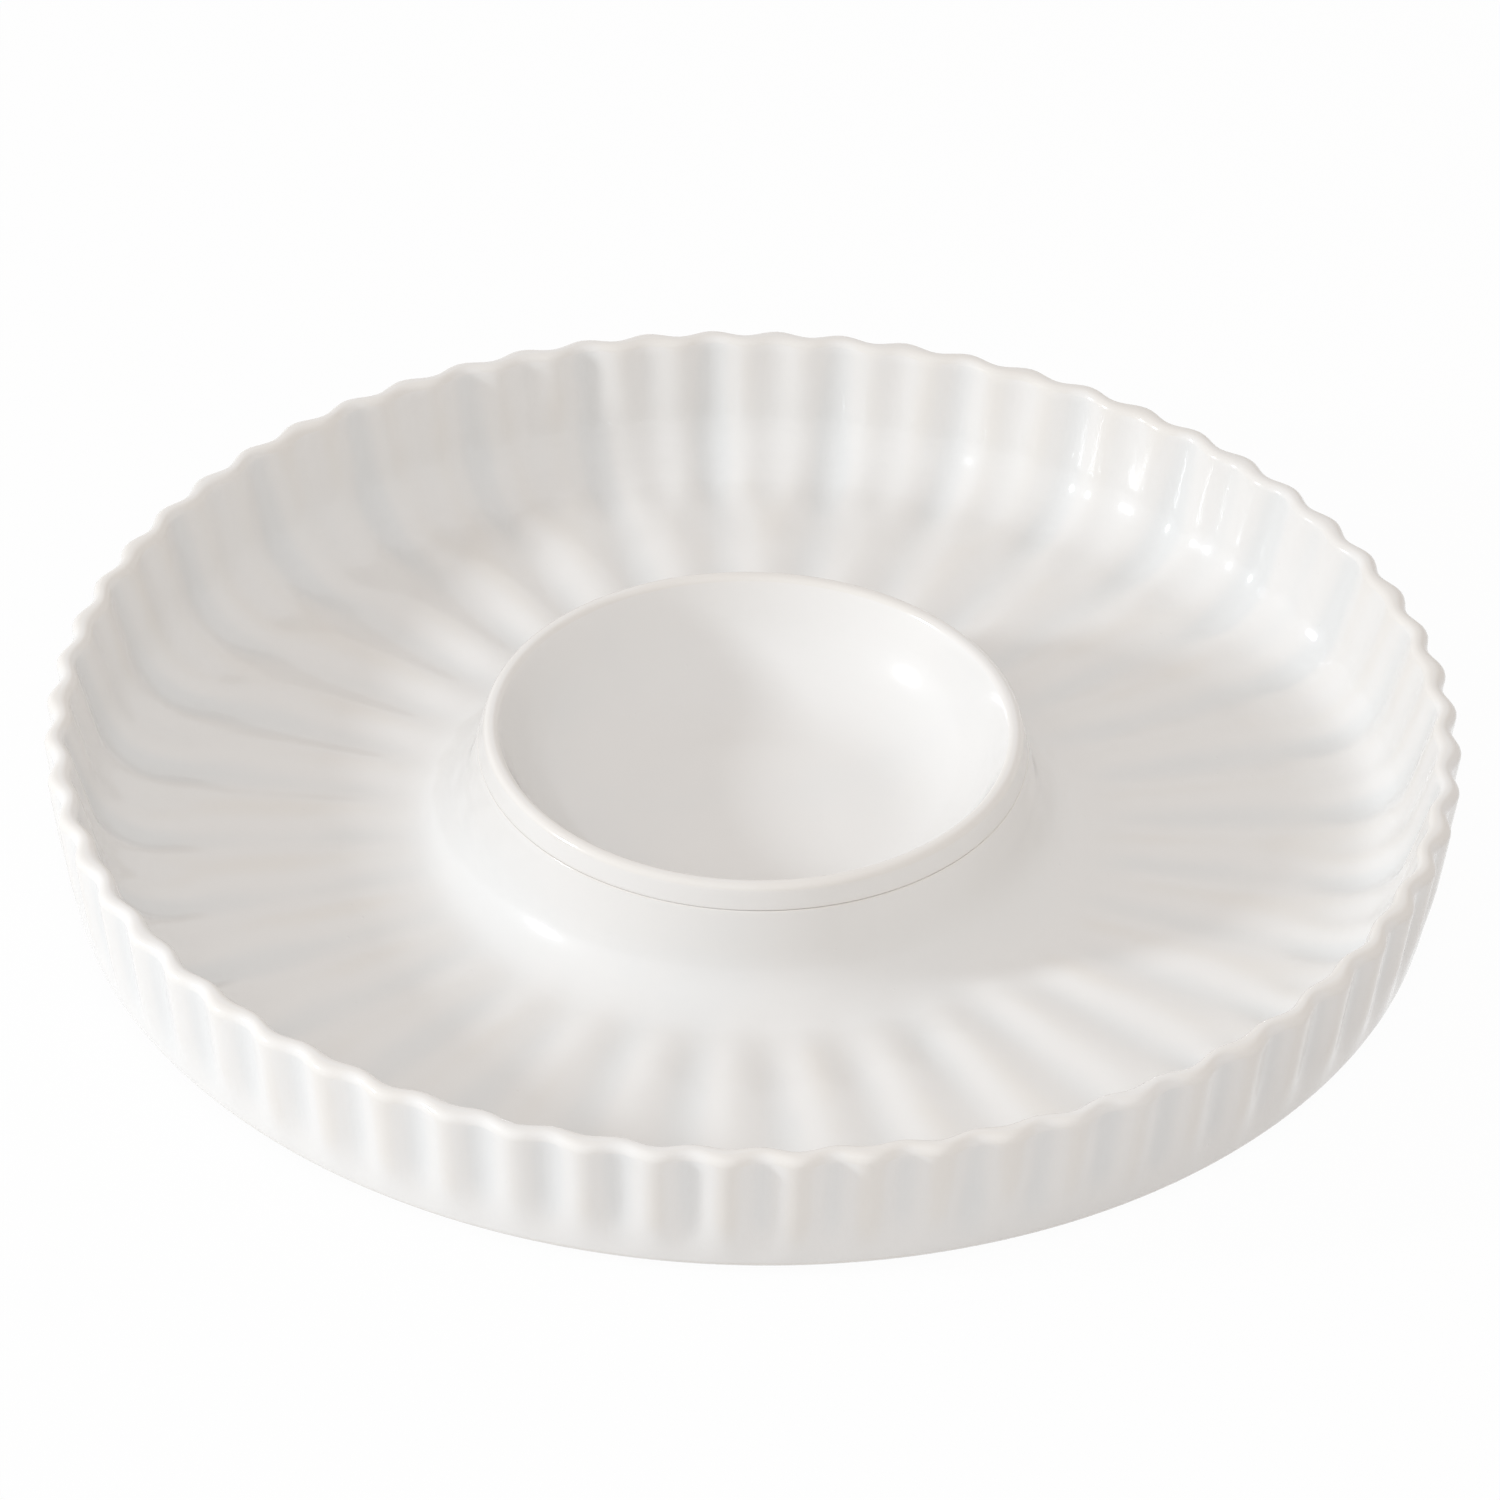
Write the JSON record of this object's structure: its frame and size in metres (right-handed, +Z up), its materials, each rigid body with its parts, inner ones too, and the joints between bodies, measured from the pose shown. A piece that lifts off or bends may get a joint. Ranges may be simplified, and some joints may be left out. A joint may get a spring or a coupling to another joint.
{
  "type": "chip and dip platter",
  "caption": "Round white glazed serving platter with a fluted wall, a ribbed trough for chips and a dip bowl that hangs in a raised collar in the middle and lifts out.",
  "frame": {"origin": "on the table, in the middle of the platter's foot ring", "axes": "+Z up along the platter's axis; X and Y are alike, with a flute crest on each"},
  "size_m": [0.3292, 0.3292, 0.037],
  "materials": {
    "platter_glaze": "glossy white glaze over white stoneware, bare on the foot ring",
    "bowl_glaze": "glossy white glaze over white stoneware, bare on the foot ring"
  },
  "bodies": {
    "platter": {"platter": "platter_glaze"},
    "dip_bowl": {"dip_bowl": "bowl_glaze"}
  },
  "joints": [
    {"name": "dip_bowl_lift", "type": "slide", "parent": "platter", "child": "dip_bowl", "axis": [0, 0, 1], "range_m": [0, 0.045]}
  ]
}
